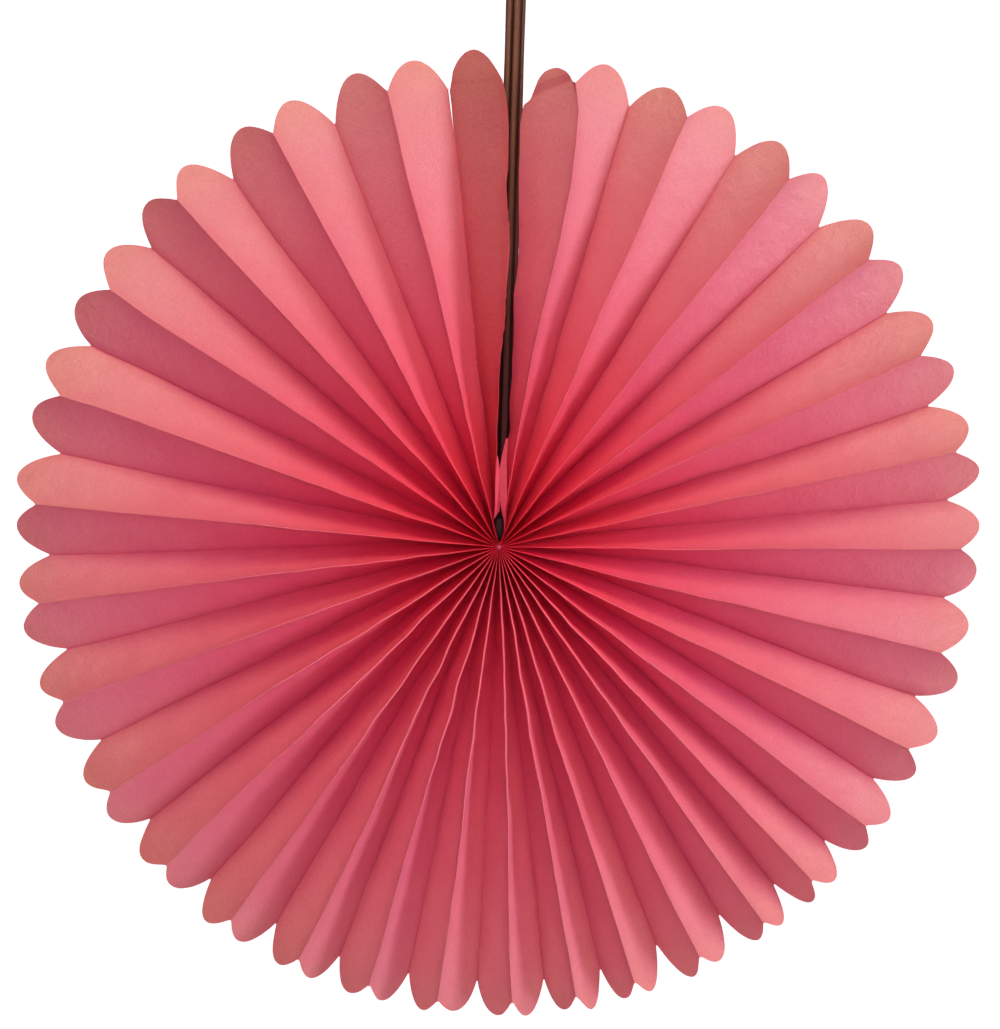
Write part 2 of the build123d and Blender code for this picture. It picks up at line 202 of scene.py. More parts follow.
class Leaf:
    """One leaf of tissue, between fold k and fold k + 1."""

    def __init__(self, k):
        self.k = k
        self.m, self.v = (k, k + 1) if FOLDS[k][0] == "M" else (k + 1, k)
        pm, pv = fold_line(self.m, [1.0])[0], fold_line(self.v, [1.0])[0]
        taz, tr = TIPS[k]
        apex = np.array([tr * math.sin(math.radians(taz)), 0, tr * math.cos(math.radians(taz))])
        d = pv - pm
        if k == 0 or k == LAST:
            t = np.array(TIP_R[::-1] if k == 0 else TIP_L[::-1])
            self.tip = t
            self.kappa = 1.1
        else:
            def az_of(p):
                return math.degrees(math.atan2(p[0], p[2])) % 360
            a0, a1 = az_of(pm), az_of(pv)
            if a1 - a0 > 180:
                a0 += 360
            if a0 - a1 > 180:
                a1 += 360
            ta = taz % 360
            if abs(ta - (a0 + a1) / 2) > 180:
                ta += 360
            f = (ta - a0) / (a1 - a0)
            f = min(0.56, max(0.30, f))
            powers = np.linspace(0.7, 2.0, 131)
            self.kappa = float(powers[np.argmin([abs(phi(0.5, w) - f) for w in powers])])
            base = pm + d * phi(0.5, self.kappa)
            self.rise = np.array([apex[0] - base[0], 0, apex[2] - base[2]])
            self.tip = None
        self.pm, self.pv = pm, pv
        self.r = (math.hypot(pm[0], pm[2]) + math.hypot(pv[0], pv[2])) / 2
        mid = (pm + pv) / 2
        self.out = np.array([mid[0], 0, mid[2]]) / math.hypot(mid[0], mid[2])

    def rim(self, ub, on_ridge):
        """Offset from the straight rim chord to the rounded edge at ub."""
        if on_ridge:
            return np.zeros(3)
        if self.tip is not None:
            y = self.pm[1] + (self.pv[1] - self.pm[1]) * ub
            t = self.tip
            s = 1 if t[-1, 1] > t[0, 1] else -1
            x = np.interp(s * y, s * t[:, 1], t[:, 0])
            z = np.interp(s * y, s * t[:, 1], t[:, 2])
            c = self.pm + (self.pv - self.pm) * phi(ub, self.kappa)
            return np.array([x - c[0], 0, z - c[2]])
        f, f0 = phi(ub, self.kappa), phi(0.5, self.kappa)
        return self.rise * ((1 - abs(2 * f - 1) ** 2.1) / (1 - abs(2 * f0 - 1) ** 2.1))

    def points(self, ub, ridge, ts, top=9.0):
        """Points down one column, in mm.  ridge is 0 on the leaf, or the share
        of the half ridge still ahead, 1 at the fold itself."""
        off = self.rim(ub, ridge > 0)
        rise = math.hypot(off[0], off[2]) / self.r
        if off @ self.out < 0:
            rise = -rise
        q = Q0 + (min(1 + rise, top) - Q0) * np.asarray(ts)
        qb = np.minimum(q, 1.0)
        m, v = fold_line(self.m, qb), fold_line(self.v, qb)
        d = v - m
        s = np.hypot(d[:, 0], d[:, 2])
        rr = qb * self.r
        wide = RIDGE / 2 * (0.30 + 0.45 * smooth(rr, 4, 45) - 0.45 * smooth(rr, 80, 150))
        wide = wide * (0.45 + 0.55 * lower(self.m))
        h = np.minimum(wide, 0.30 * s) / np.maximum(s, 1e-6)
        c = np.minimum(CREASE / 2, 0.05 * s) / np.maximum(s, 1e-6)
        if ridge > 0:
            f, yb = h * (1 - ridge), np.zeros_like(h)
        else:
            f, yb = h + (1 - h - c) * phi(ub, self.kappa), np.full_like(h, ub)
            if ub >= 1:
                f = np.ones_like(h)
        p = m + d * f[:, None]
        p[:, 1] = m[:, 1] + d[:, 1] * yb - 0.06 * ridge
        if abs(rise) > 1e-9:
            over = np.clip((q - 1) / rise, 0, 1) if rise > 0 else np.clip(
                smooth(q, 0.9, 1 + rise), 0, 1)
            p = p + off[None, :] * over[:, None]
        if 0 < ub < 1 and not ridge:
            p = p + self.soft(ub, q)
        return p, q

    def soft(self, ub, q):
        """Soft buckles and wrinkles, none at the folds."""
        u = self.v, self.m
        dm = fold_line(self.v, [0.8])[0] - fold_line(self.m, [0.8])[0]
        n = np.cross(dm, self.out)
        n = n / np.linalg.norm(n)
        if n[1] > 0:
            n = -n
        k = self.k
        out = np.zeros((len(q), 3))
        edge = math.sin(math.pi * ub) ** 0.8
        for j, qq in enumerate(q):
            rho = qq * self.r
            a = ub * LEAF
            big = n1(rho / 55.0, a / 30.0 + k * 7.3, 2.1)
            mid = n1(rho / 19.0 + a / 26.0, a / 13.0 + k * 3.1, 7.7)
            w = n1(rho / 9.0 - a / 15.0, a / 7.0 + k * 1.9, 3.3)
            fine = (1 - abs(w) * 3.0) if abs(w) < 0.33 else 0.0
            amp = float(smooth(rho, 12, 80))
            d = amp * edge * (1.15 * big + 0.5 * mid + 0.13 * fine)
            out[j] = n * d
            tip = max(0.0, qq - 0.955)
            out[j, 1] += tip * tip * 260 * edge * (0.6 + 1.3 * n1(k * 1.7, 3.0, 0.4))
        return out


def leaf_columns(n):
    us = [(0.0, 1.0), (0.0, 0.45)]
    for i in range(n + 1):
        u = 0.5 - 0.5 * math.cos(math.pi * i / n)
        us.append((0.8 * u + 0.2 * i / n, 0.0))
    return us


def make_mesh(name, verts, faces, smooth_shade=True):
    me = bpy.data.meshes.new(name)
    me.from_pydata([tuple(v) for v in verts], [], faces)
    me.update()
    if smooth_shade:
        me.polygons.foreach_set("use_smooth", [True] * len(me.polygons))
    ob = bpy.data.objects.new(name, me)
    scene.collection.objects.link(ob)
    return ob


def put_uv(ob, uv):
    layer = ob.data.uv_layers.new(name="UVMap")
    for loop in ob.data.loops:
        layer.data[loop.index].uv = uv[loop.vertex_index]


def put_value(ob, name, values):
    at = ob.data.attributes.new(name, "FLOAT", "POINT")
    at.data.foreach_set("value", np.asarray(values, np.float32))


def build_leaf(k, cols=24, rows=64):
    lf = Leaf(k)
    us = leaf_columns(cols)
    ts = np.concatenate([np.linspace(0, 0.9, rows - 12, endpoint=False),
                         np.linspace(0.9, 1.0, 13)])
    verts, uv, rad = [], [], []
    for ub, ridge in us:
        p, q = lf.points(ub, ridge, ts)
        verts += [v * MM for v in p]
        across = RIDGE / 2 * (1 - ridge) if ridge else RIDGE / 2 + ub * (LEAF - RIDGE / 2)
        uv += [(across * MM * 10, qq * lf.r * MM * 10) for qq in q]
        rad += [qq for qq in q]
    n = len(ts)
    faces = []
    flip = lf.m > lf.v
    for c in range(len(us) - 1):
        for j in range(n - 1):
            a, b = c * n + j, (c + 1) * n + j
            quad = (a, b, b + 1, a + 1)
            faces.append(quad[::-1] if flip else quad)
    ob = make_mesh("leaf_%02d" % k, verts, faces)
    put_uv(ob, uv)
    put_value(ob, "along", rad)
    put_value(ob, "leafid", [k / 61.0] * len(verts))
    # per-fold strength of the painted ridge highlight, strongest on the folds at the bottom of the fan
    put_value(ob, "ridge_pale_and_highlight", [0.22 + 0.78 * lower(lf.m)] * len(verts))
    return ob, lf


# --------------------------------------------------------------- node helpers
class Nodes:
    def __init__(self, name):
        self.mat = bpy.data.materials.new(name)
        self.mat.use_nodes = True
        self.t = self.mat.node_tree
        self.t.nodes.clear()
        self.out = self.t.nodes.new("ShaderNodeOutputMaterial")

    def add(self, kind, props=None, **inputs):
        n = self.t.nodes.new(kind)
        for k, v in (props or {}).items():
            setattr(n, k, v)
        for k, v in inputs.items():
            key = int(k[1:]) if k[0] == "i" and k[1:].isdigit() else k.replace("_", " ")
            s = n.inputs[key]
            if isinstance(v, bpy.types.NodeSocket):
                self.t.links.new(v, s)
            else:
                s.default_value = v
        return n

    def math(self, op, a, b=0.0, clamp=False):
        return self.add("ShaderNodeMath", {"operation": op, "use_clamp": clamp},
                        i0=a, i1=b).outputs[0]

    def mix(self, fac, a, b, mode="MIX"):
        n = self.add("ShaderNodeMix", {"data_type": "RGBA", "blend_type": mode})
        for s, v in ((n.inputs[0], fac), (n.inputs[6], a), (n.inputs[7], b)):
            if isinstance(v, bpy.types.NodeSocket):
                self.t.links.new(v, s)
            else:
                s.default_value = v if not isinstance(v, tuple) or len(v) == 4 else (*v, 1)
        return n.outputs[2]

    def ramp(self, fac, stops, interp="LINEAR"):
        n = self.add("ShaderNodeValToRGB", None, Fac=fac)
        cr = n.color_ramp
        cr.interpolation = interp
        while len(cr.elements) < len(stops):
            cr.elements.new(0.5)
        for e, (p, c) in zip(cr.elements, stops):
            e.position = p
            e.color = (*c, 1) if len(c) == 3 else c
        return n.outputs[0]

    def noise(self, vector, scale, detail=3.0, rough=0.55, distort=0.0):
        return self.add("ShaderNodeTexNoise", None, Vector=vector, Scale=scale, Detail=detail,
                        Roughness=rough, Distortion=distort).outputs[0]

    def link(self, a, b):
        self.t.links.new(a, b)


# Colour by distance from the hub: the outer colour is the paper's own; the deeper, darker crimson towards the hub is
# painted shade of the deep pleats.
DYE_WITH_HUB_SHADE = [(0.0, (0.94, 0.026, 0.056)), (0.17, (0.93, 0.055, 0.100)), (0.31, (0.90, 0.100, 0.155)),
       (0.47, (0.88, 0.145, 0.200)), (0.65, (0.87, 0.210, 0.245)), (0.80, (0.86, 0.270, 0.272)),
       (0.90, (0.86, 0.320, 0.282))]


def tissue(name, tone=(1, 1, 1), ridge=(0.90, 0.26, 0.31), crease=(0.74, 0.08, 0.14),
           through=0.32, band=None):
    """Dyed tissue paper: fibres, mottled colour, soft crinkles; colour deepened towards the hub as painted shade,
    front folds paler partly as painted highlight, back creases darker partly as painted shade.
    """
    n = Nodes(name)
    uv = n.add("ShaderNodeUVMap", {"uv_map": "UVMap"}).outputs[0]
    sep = n.add("ShaderNodeSeparateXYZ", None, Vector=uv)
    across, along_uv = sep.outputs[0], sep.outputs[1]
    ident = n.add("ShaderNodeAttribute", {"attribute_name": "leafid"}).outputs["Fac"]
    along = n.add("ShaderNodeAttribute", {"attribute_name": "along"}).outputs["Fac"]
    shifted = n.add("ShaderNodeCombineXYZ", None, X=across, Y=along_uv,
                    Z=n.math("MULTIPLY", ident, 97.0)).outputs[0]
    stretched = n.add("ShaderNodeCombineXYZ", None, X=n.math("MULTIPLY", across, 3.2),
                      Y=n.math("MULTIPLY", along_uv, 1.0),
                      Z=n.math("MULTIPLY", ident, 41.0)).outputs[0]
    hub_shaded_dye = [(p, tuple(c * t for c, t in zip(col, tone))) for p, col in DYE_WITH_HUB_SHADE]
    mid, tip = hub_shaded_dye[4][1], hub_shaded_dye[6][1]
    # painted shade: the colour deepens and darkens towards the hub
    colour = n.ramp(n.math("MULTIPLY", along, 0.85), hub_shaded_dye)
    cloud = n.noise(shifted, 4.2, 4, 0.6)
    paler = n.mix(1.0, colour, (1.03, 1.25, 1.12, 1), "MULTIPLY")
    colour = n.mix(n.ramp(cloud, [(0.35, (0, 0, 0)), (0.68, (0.75, 0.75, 0.75))]), colour,
                   paler)
    leaf_tone = n.noise(n.add("ShaderNodeCombineXYZ", None,
                              X=n.math("MULTIPLY", ident, 313.0)).outputs[0], 1.0, 0)
    cooler = n.mix(1.0, colour, (0.96, 0.86, 1.06, 1), "MULTIPLY")
    colour = n.mix(n.ramp(leaf_tone, [(0.3, (0, 0, 0)), (0.7, (0.8, 0.8, 0.8))]), colour,
                   cooler)
    fibre = n.noise(stretched, 62, 5, 0.62)
    colour = n.mix(0.30, colour, n.ramp(fibre, [(0.30, (0.66, 0.46, 0.48)), (0.70, (1.06, 1.12, 1.1))]),
                   "MULTIPLY")
    speck = n.noise(shifted, 150, 2, 0.5)
    colour = n.mix(0.16, colour, n.ramp(speck, [(0.36, (0.6, 0.35, 0.4)), (0.55, (1, 1, 1))]),
                   "MULTIPLY")
    # crinkle lines of handled tissue
    warp = n.add("ShaderNodeVectorMath", {"operation": "ADD"}, i0=shifted,
                 i1=n.add("ShaderNodeTexNoise", None, Vector=shifted, Scale=6.0,
                          Detail=2.0).outputs[1]).outputs[0]
    cells = n.add("ShaderNodeTexVoronoi", {"feature": "DISTANCE_TO_EDGE"}, Vector=warp,
                  Scale=5.2).outputs["Distance"]
    line = n.ramp(cells, [(0.0, (1, 1, 1)), (0.045, (0, 0, 0))])
    thin = n.math("MULTIPLY", line, n.ramp(n.noise(shifted, 2.4, 1), [(0.42, (0, 0, 0)),
                                                                     (0.62, (1, 1, 1))]))
    colour = n.mix(n.math("MULTIPLY", thin, 0.07), colour, (0.97, 0.55, 0.50, 1))
    # the rim picks up orange; the front folds are painted paler, partly their own paler fold edges and partly painted
    # highlight, and the back creases painted darker, partly a crimson line in the paper and partly painted shade
    outer = n.math("SUBTRACT", along, 0.97)
    rim = n.math("MULTIPLY", n.ramp(n.math("MULTIPLY", outer, 11.0), [(0.0, (0, 0, 0)),
                                                                    (1.0, (1, 1, 1))]), 0.20)
    colour = n.mix(rim, colour, (0.80, 0.27, 0.13, 1))
    on_ridge = n.ramp(across, [(0.0, (1, 1, 1)), (0.0052, (1, 1, 1)), (0.0085, (0, 0, 0))])
    ridge_gap = n.noise(stretched, 14, 2, 0.5)
    on_ridge = n.math("MULTIPLY", on_ridge, n.ramp(ridge_gap, [(0.25, (0.55, 0.55, 0.55)),
                                                               (0.5, (1, 1, 1))]))
    # painted highlight: the pale ridge fades near the hub and the rim and is scaled per fold
    ridge_pale_and_highlight = n.ramp(along, [(0.0, (0.0, 0.0, 0.0)), (0.05, (0.25, 0.25, 0.25)),
                          (0.12, (0.8, 0.8, 0.8)), (0.45, (0.6, 0.6, 0.6)),
                          (0.75, (0.3, 0.3, 0.3)), (1.0, (0.2, 0.2, 0.2))])
    ridge_highlight_by_fold = n.add("ShaderNodeAttribute", {"attribute_name": "ridge_pale_and_highlight"}).outputs["Fac"]
    ridge_pale_and_highlight = n.math("MULTIPLY", ridge_pale_and_highlight, ridge_highlight_by_fold)
    colour = n.mix(n.math("MULTIPLY", on_ridge, ridge_pale_and_highlight), colour, (*ridge, 1))
    # the back crease is painted darker: partly a crimson line in the paper, partly painted shade in the fold
    crease_line_and_shade = n.ramp(across, [(0.3255, (0, 0, 0)), (0.3335, (1, 1, 1))])
    colour = n.mix(n.math("MULTIPLY", crease_line_and_shade, 0.6), colour, (*crease, 1))
    if band:
        a, b, shade, strength = band
        at = n.math("MULTIPLY", n.math("SUBTRACT", along, a - 0.02), 1 / (b - a + 0.04))
        w = 0.02 / (b - a + 0.04)
        bar = n.ramp(at, [(w * 0.6, (0, 0, 0)), (w, (1, 1, 1)), (1 - w, (1, 1, 1)),
                          (1 - w * 0.6, (0, 0, 0))])
        colour = n.mix(n.math("MULTIPLY", bar, strength), colour, (*shade, 1))
    height = n.math("ADD", n.math("MULTIPLY", fibre, 0.35),
                    n.math("ADD", n.math("MULTIPLY", line, 0.15),
                           n.math("MULTIPLY", n.noise(shifted, 11, 4, 0.6), 1.6)))
    bump = n.add("ShaderNodeBump", None, Strength=0.5, Distance=0.0014, Height=height).outputs[0]
    dif = n.add("ShaderNodeBsdfDiffuse", None, Color=colour, Roughness=0.9, Normal=bump)
    glow = n.mix(1.0, colour, (0.95, 0.40, 0.48, 1), "MULTIPLY")
    tra = n.add("ShaderNodeBsdfTranslucent", None, Color=glow, Normal=bump)
    mixed = n.add("ShaderNodeMixShader", None, Fac=through)
    n.link(dif.outputs[0], mixed.inputs[1])
    n.link(tra.outputs[0], mixed.inputs[2])
    # the fibres scatter a little white light off the dyed sheet
    haze = n.add("ShaderNodeBsdfGlossy", None, Color=(1.0, 0.93, 0.90, 1), Roughness=0.62,
                 Normal=bump)
    hazed = n.add("ShaderNodeMixShader", None,
                  Fac=n.math("MULTIPLY", n.ramp(along, [(0.05, (0.0, 0.0, 0.0)),
                                                        (0.55, (1, 1, 1))]), 0.11))
    n.link(mixed.outputs[0], hazed.inputs[1])
    n.link(haze.outputs[0], hazed.inputs[2])
    n.link(hazed.outputs[0], n.out.inputs[0])
    return n.mat


PAPER = tissue("tissue_pink")
PAPER_END_L = tissue("tissue_end_left", tone=(0.80, 0.60, 0.50),
                     band=(1.010, 1.013, (0.52, 0.10, 0.09), 0.35))
PAPER_END_R = tissue("tissue_end_right", tone=(0.92, 0.80, 0.74))
PAPER_LAYER_R = tissue("tissue_layer_right", tone=(1.03, 1.12, 1.05),
                       band=(1.013, 1.04, (0.62, 0.07, 0.10), 0.65))
PAPER_LAYER = tissue("tissue_layer", tone=(1.0, 1.0, 1.08))
PAPER_INNER = tissue("tissue_inner", tone=(0.95, 0.85, 0.85), through=0.45)


def ribbon_material(name="ribbon_satin"):
    n = Nodes(name)
    uv = n.add("ShaderNodeUVMap", {"uv_map": "UVMap"}).outputs[0]
    sep = n.add("ShaderNodeSeparateXYZ", None, Vector=uv)
    u, v = sep.outputs[0], sep.outputs[1]
    vec = n.add("ShaderNodeCombineXYZ", None, X=u, Y=n.math("MULTIPLY", v, 6.0)).outputs[0]
    # Across the ribbon: the brown is the satin's own colour; the golden bands on its humps are painted sheen and the
    # near-black lines in its two folds are painted shade.
    col = n.ramp(u, [(0.0, (0.055, 0.016, 0.006)), (0.07, (0.17, 0.055, 0.02)),
                     (0.2, (0.30, 0.13, 0.045)), (0.29, (0.15, 0.05, 0.018)),
                     (0.335, (0.010, 0.003, 0.001)), (0.39, (0.12, 0.04, 0.014)),
                     (0.55, (0.33, 0.15, 0.055)), (0.70, (0.18, 0.065, 0.022)),
                     (0.775, (0.012, 0.004, 0.002)), (0.83, (0.16, 0.055, 0.02)),
                     (0.93, (0.20, 0.075, 0.028)), (1.0, (0.05, 0.014, 0.006))])
    streak = n.noise(n.add("ShaderNodeCombineXYZ", None, X=n.math("MULTIPLY", u, 9.0),
                           Y=n.math("MULTIPLY", v, 2.5)).outputs[0], 3.0, 5, 0.65)
    col = n.mix(0.75, col, n.ramp(streak, [(0.3, (0.35, 0.3, 0.28)), (0.7, (1.25, 1.2, 1.15))]),
                "MULTIPLY")
    col = n.mix(1.0, col, (0.52, 0.43, 0.33, 1), "MULTIPLY")
    # painted shade: the ribbon is darker towards its lower end, where it runs behind the fan
    fade = n.ramp(n.math("MULTIPLY", v, 0.0625), [(0.25, (0.42, 0.20, 0.17)), (0.75, (1, 1, 1))])
    col = n.mix(1.0, col, fade, "MULTIPLY")
    weave = n.add("ShaderNodeTexWave", {"wave_type": "BANDS", "bands_direction": "Y"},
                  Vector=uv, Scale=26.0, Distortion=1.5, Detail=2.0).outputs["Fac"]
    bump = n.add("ShaderNodeBump", None, Strength=0.25, Distance=0.0004,
                 Height=n.math("ADD", n.math("MULTIPLY", weave, 0.5), streak)).outputs[0]
    b = n.add("ShaderNodeBsdfPrincipled", None, Base_Color=col, Roughness=0.42, Normal=bump)
    b.inputs["Specular IOR Level"].default_value = 0.3
    n.link(b.outputs[0], n.out.inputs[0])
    return n.mat


def paper_solid(name, light, dark, scale=900.0):
    n = Nodes(name)
    co = n.add("ShaderNodeTexCoord").outputs["Object"]
    a = n.noise(co, scale, 6, 0.65)
    c = n.noise(co, scale * 0.12, 3, 0.5)
    col = n.ramp(a, [(0.3, dark), (0.7, light)])
    col = n.mix(n.math("MULTIPLY", c, 0.35), col, (*dark, 1))
    bump = n.add("ShaderNodeBump", None, Strength=0.3, Distance=0.0004, Height=a).outputs[0]
    b = n.add("ShaderNodeBsdfPrincipled", None, Base_Color=col, Roughness=0.85, Normal=bump)
    n.link(b.outputs[0], n.out.inputs[0])
    return n.mat


RIBBON = ribbon_material()
CARD = paper_solid("card_backing", (0.80, 0.40, 0.36), (0.62, 0.25, 0.25))
TAPE = paper_solid("paper_tape", (0.86, 0.72, 0.64), (0.70, 0.52, 0.45))
THREAD = paper_solid("binding_thread", (0.74, 0.10, 0.17), (0.50, 0.03, 0.07), 2600)
CORE = paper_solid("crushed_tissue", (0.55, 0.06, 0.12), (0.22, 0.01, 0.04), 1400)

# ------------------------------------------------------------------- ribbon
curve = bpy.data.curves.new("ribbon_route", "CURVE")
curve.dimensions = "3D"
spline = curve.splines.new("NURBS")
ROUTE = [(0.40, 18.00, 8.2), (2.13, 16.84, 64.2), (6.83, 13.66, 218.0), (8.56, 12.50, 274.0)]
spline.points.add(len(ROUTE) - 1)
for p, c in zip(spline.points, ROUTE):
    p.co = (c[0] * MM, c[1] * MM, c[2] * MM, 1)
spline.order_u = 3
spline.use_endpoint_u = True
spline.resolution_u = 40
curve_ob = bpy.data.objects.new("ribbon_route", curve)
scene.collection.objects.link(curve_ob)
line_me = bpy.data.meshes.new_from_object(curve_ob)
path = [v.co.copy() for v in line_me.vertices]
bpy.data.objects.remove(curve_ob)
bpy.data.meshes.remove(line_me)


def ribbon_height(u):
    """Height of the ribbon's face above its middle, u from 0 to 1, in mm."""
    h = 0.0
    for c, w, d in ((0.335, 0.045, 0.75), (0.775, 0.040, 0.65)):
        h -= d * math.exp(-((u - c) / w) ** 2)
    h += 0.38 * math.sin(math.pi * min(1, u / 0.335)) if u < 0.335 else 0
    h += 0.42 * math.sin(math.pi * (u - 0.335) / 0.44) if 0.335 <= u < 0.775 else 0
    h += 0.30 * math.sin(math.pi * (u - 0.775) / 0.225) if u >= 0.775 else 0
    return h


verts, uv, faces = [], [], []
NU, WIDE = 48, 9.4
along_mm = 0.0
for i, p in enumerate(path):
    t = (path[min(i + 1, len(path) - 1)] - path[max(i - 1, 0)]).normalized()
    side = Vector((1, 0, 0)) - t * t.x
    side.normalize()
    face = side.cross(t)
    if face.y > 0:
        face = -face
    if i:
        along_mm += (p - path[i - 1]).length * 1000
    wide = WIDE * (1 + 0.03 * n1(along_mm / 30, 1.0, 2.0))
    for back in (0, 1):
        for j in range(NU + 1):
            u = j / NU
            h = ribbon_height(u) * (0.8 + 0.5 * n1(along_mm / 40, u * 3, 5.0))
            h += 0.25 * n1(along_mm / 18, u * 2, 8.0)
            h = h + 0.16 if not back else h - 0.16
            verts.append(p + side * ((u - 0.5) * wide * MM) + face * (h * MM))
            uv.append((u, along_mm / 16.6))
row = 2 * (NU + 1)
for i in range(len(path) - 1):
    a, b = i * row, (i + 1) * row
    for j in range(NU):
        faces.append((a + j, a + j + 1, b + j + 1, b + j))
        k = NU + 1
        faces.append((a + k + j, b + k + j, b + k + j + 1, a + k + j + 1))
    faces.append((a, b, b + NU + 1, a + NU + 1))
    faces.append((a + NU, a + 2 * NU + 1, b + 2 * NU + 1, b + NU))
for end in (0, (len(path) - 1) * row):
    for j in range(NU):
        q = (end + j, end + j + 1, end + NU + 2 + j, end + NU + 1 + j)
        faces.append(q if end else q[::-1])
ribbon = make_mesh("hanging_ribbon_satin", verts, faces)
put_uv(ribbon, uv)
ribbon.data.materials.append(RIBBON)
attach(ribbon, "root")
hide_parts("hanging_ribbon")


def strip_uv(ob):
    """Ribbon coordinates for a solid: across its width in x, along it in z."""
    co = np.array([v.co for v in ob.data.vertices])
    lo, hi = co.min(0), co.max(0)
    layer = ob.data.uv_layers.new(name="UVMap") if not ob.data.uv_layers else ob.data.uv_layers[0]
    layer.name = "UVMap"
    for lp in ob.data.loops:
        c = co[lp.vertex_index]
        layer.data[lp.index].uv = ((c[0] - lo[0]) / (hi[0] - lo[0]), 12 + (c[2] - lo[2]) * 60)


def dress(name, mat):
    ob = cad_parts[name]
    ob.data.materials.clear()
    ob.data.materials.append(mat)
    return ob


solid_ribbon = paper_solid("ribbon_satin_folded", (0.19, 0.08, 0.032), (0.05, 0.016, 0.007), 700)
# near black: painted shade of the hole at the hub, put on the folded ribbon end
hole_shade_ribbon = paper_solid("ribbon_painted_hole_shade", (0.030, 0.008, 0.006), (0.012, 0.003, 0.003), 900)
for name in ("ribbon_knot", "ribbon_loop"):
    dress(name, solid_ribbon)
dress("closing_tape", TAPE)

# ------------------------------------------------------------------ leaves
straight = {}


leaves, leaf_obs = {}, {}
for k in range(LAST + 1):
    ob, lf = build_leaf(k)
    leaves[k] = lf
    ob.data.materials.append(PAPER_END_R if k == 0 else PAPER_END_L if k == LAST else PAPER)
    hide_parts(node_of_front(lf.m))
    leaf_obs[k] = ob


# ------------------------------------------------- layers, core, thread, flaps
def layer(k, name, mat, lift, u0, u1, top, bottom=0.05, cols=16, rows=60):
    """A second sheet of tissue lying lift mm from leaf k, towards increasing
    azimuth, from u0 to u1 of its width and out to top of its length."""
    lf = leaves[k]
    ts = np.linspace(0, 1, rows) ** 0.9
    us = [u0 + (u1 - u0) * (0.5 - 0.5 * math.cos(math.pi * i / cols)) for i in range(cols + 1)]
    cols_p, uv, al = [], [], []
    for u in us:
        p, q = lf.points(float(u), 0, bottom + (1 - bottom) * ts, top)
        cols_p.append(p)
        uv += [((RIDGE / 2 + u * (LEAF - RIDGE / 2)) * MM * 10 * 0.96 + 0.011,
                qq * lf.r * MM * 10 + 0.7) for qq in q]
        al += list(q)
    grid = np.array(cols_p)
    nr = np.cross(np.gradient(grid, axis=0), np.gradient(grid, axis=1))
    nr /= np.maximum(np.linalg.norm(nr, axis=2), 1e-9)[..., None]
    az = math.radians((FOLDS[k][1] + FOLDS[k + 1][1]) / 2)
    tan = np.array([math.cos(az), 0, -math.sin(az)])
    nr = np.where((nr @ tan)[..., None] < 0, -nr, nr)
    reach = np.minimum(1.0, (np.hypot(grid[..., 0], grid[..., 2]) / 45.0))[..., None]
    verts = [tuple(p * MM) for p in (grid + nr * lift * reach).reshape(-1, 3)]
    w = rows
    faces = [(i * w + j, (i + 1) * w + j, (i + 1) * w + j + 1, i * w + j + 1)
             for i in range(cols) for j in range(rows - 1)]
    ob = make_mesh(name, verts, faces)
    put_uv(ob, uv)
    put_value(ob, "along", al)
    put_value(ob, "leafid", [(k + 0.37) / 61.0] * len(verts))
    ob.data.materials.append(mat)
    follow(ob, k)
    return ob


def follow(ob, k):
    """Makes a piece move as leaf 0 does; on any other leaf it only bakes the piece's transform into its mesh."""
    lf = leaves[k]
    body = body_of_front(lf.m)
    if k == 0:
        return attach(ob, body)
    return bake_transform(ob)


for k, ob in leaf_obs.items():
    follow(ob, k)
inner_r = layer(0, "end_layer_right_inner", PAPER_INNER, 0.45, 0.05, 0.95, 1.0, 0.15)
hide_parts("end_strip_right")
inner_l = layer(LAST, "end_layer_left_inner", PAPER_INNER, 0.45, 0.05, 0.95, 1.0, 0.15)
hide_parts("end_strip_left")
layer(0, "end_layer_right_outer", PAPER_LAYER_R, -0.18, 0.012, 0.988, 1.03)
layer(14, "leaf_14_second_layer", PAPER_LAYER, -0.14, 0.012, 0.988, 0.962)


def lathe(name, profile, segs=40, rough=0.0, seed=0.0):
    """A crushed round form along y from (y, radius) pairs, in mm."""
    verts, faces = [], []
    for y, r in profile:
        for s in range(segs):
            a = 2 * math.pi * s / segs
            rr = r * (1 + rough * n1(math.cos(a) * 2.5, math.sin(a) * 2.5, y / 2.0 + seed))
            verts.append((rr * math.sin(a) * MM, y * MM, rr * math.cos(a) * MM))
    for i in range(len(profile) - 1):
        for s in range(segs):
            e = (s + 1) % segs
            faces.append((i * segs + s, i * segs + e, (i + 1) * segs + e, (i + 1) * segs + s))
    faces.append(tuple(range(segs)))
    faces.append(tuple((len(profile) - 1) * segs + s for s in range(segs - 1, -1, -1)))
    ob = make_mesh(name, verts, faces)
    return ob


core = lathe("crushed_core", [(-15.6, 0.35), (-15.2, 0.9), (-14.0, 1.25), (-6, 1.3), (6, 1.3),
                              (14.0, 1.4), (16.4, 1.9), (17.15, 1.7), (17.2, 0.6)], 48, 0.35)
core.data.materials.append(CORE)
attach(core, "root")
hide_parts("gathered_core")

